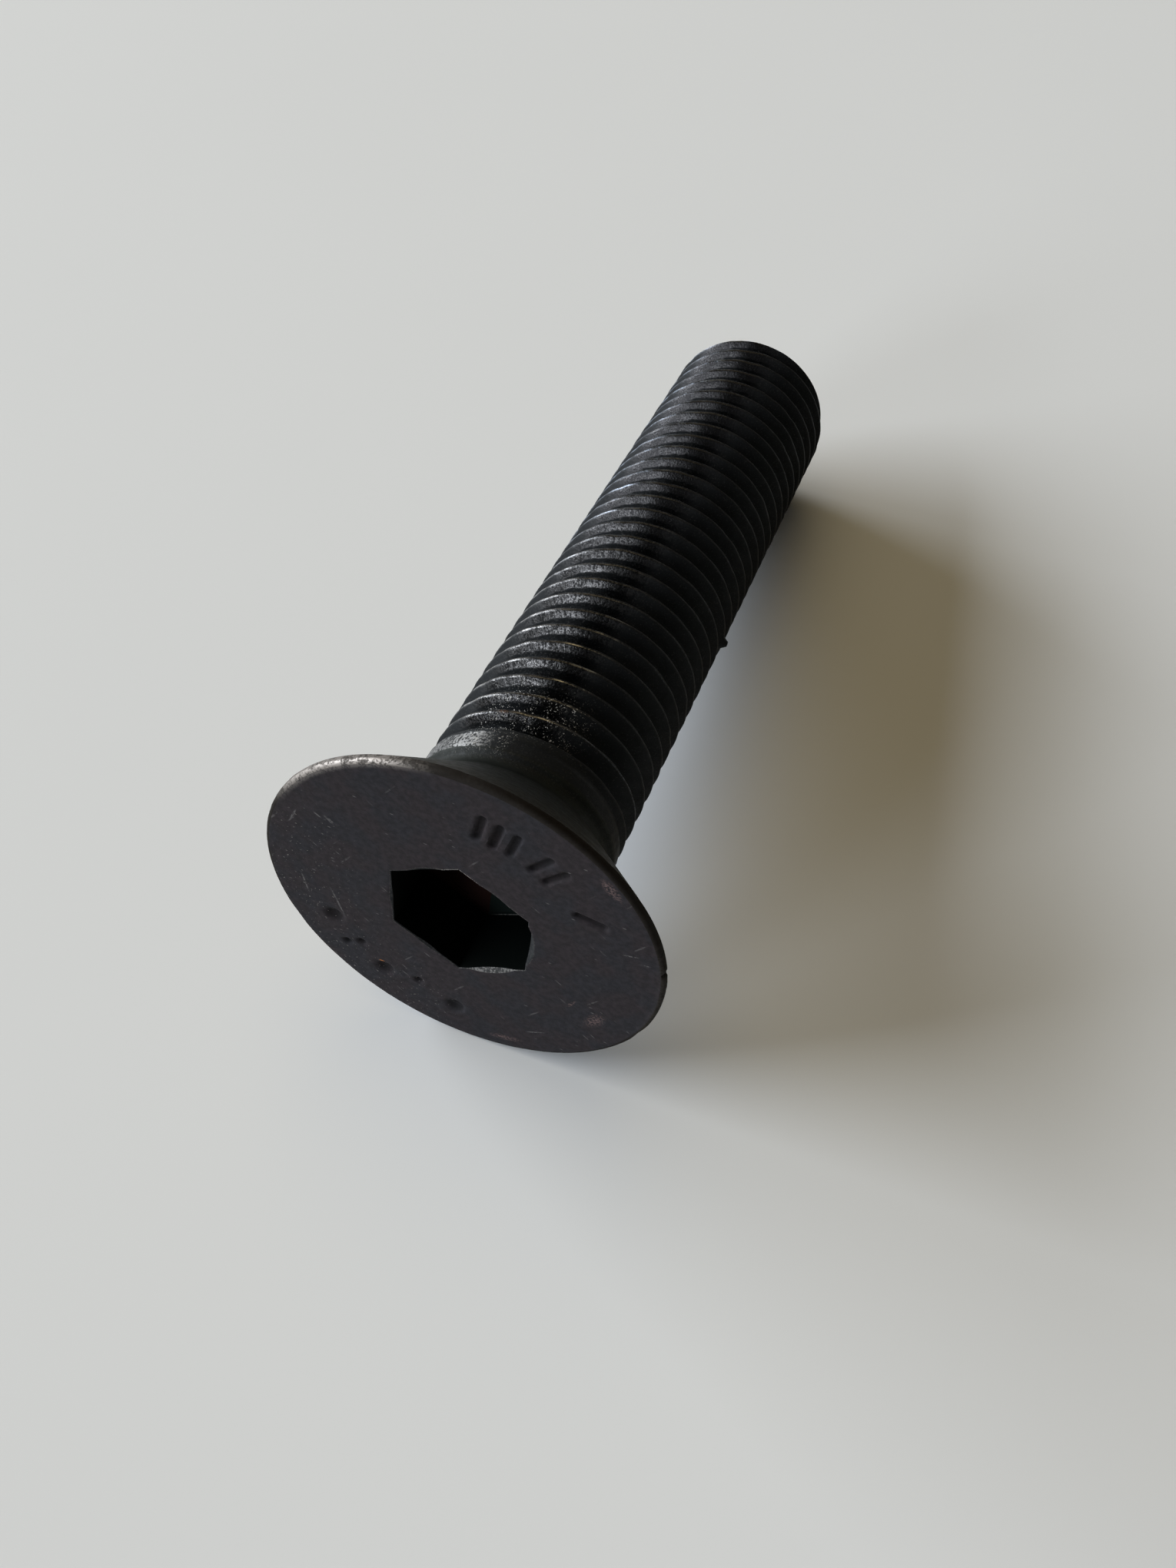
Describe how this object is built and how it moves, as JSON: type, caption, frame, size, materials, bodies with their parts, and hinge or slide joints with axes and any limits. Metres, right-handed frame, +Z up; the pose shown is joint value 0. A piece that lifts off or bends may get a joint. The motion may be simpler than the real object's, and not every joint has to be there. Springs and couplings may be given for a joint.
{
  "type": "blade bolt",
  "caption": "Black countersunk blade bolt: flat round head with a hexagon socket, 90 degree seat, short neck, and a shank threaded to its chamfered point.",
  "frame": {"origin": "centre of the bounding box's base, on the surface that the bolt lies on", "axes": "+Z up; the bolt's axis lies in the YZ plane, from the head at -Y to the point at +Y, and slopes down by 5.76 degrees, because the bolt lies on the rim of its head and the last crest of its thread"},
  "size_m": [0.0296, 0.0718, 0.0295],
  "materials": {
    "black_steel": "black oxide, satin on the head and oily gloss on the thread"
  },
  "bodies": {
    "root": {"bolt": "black_steel"}
  },
  "joints": []
}
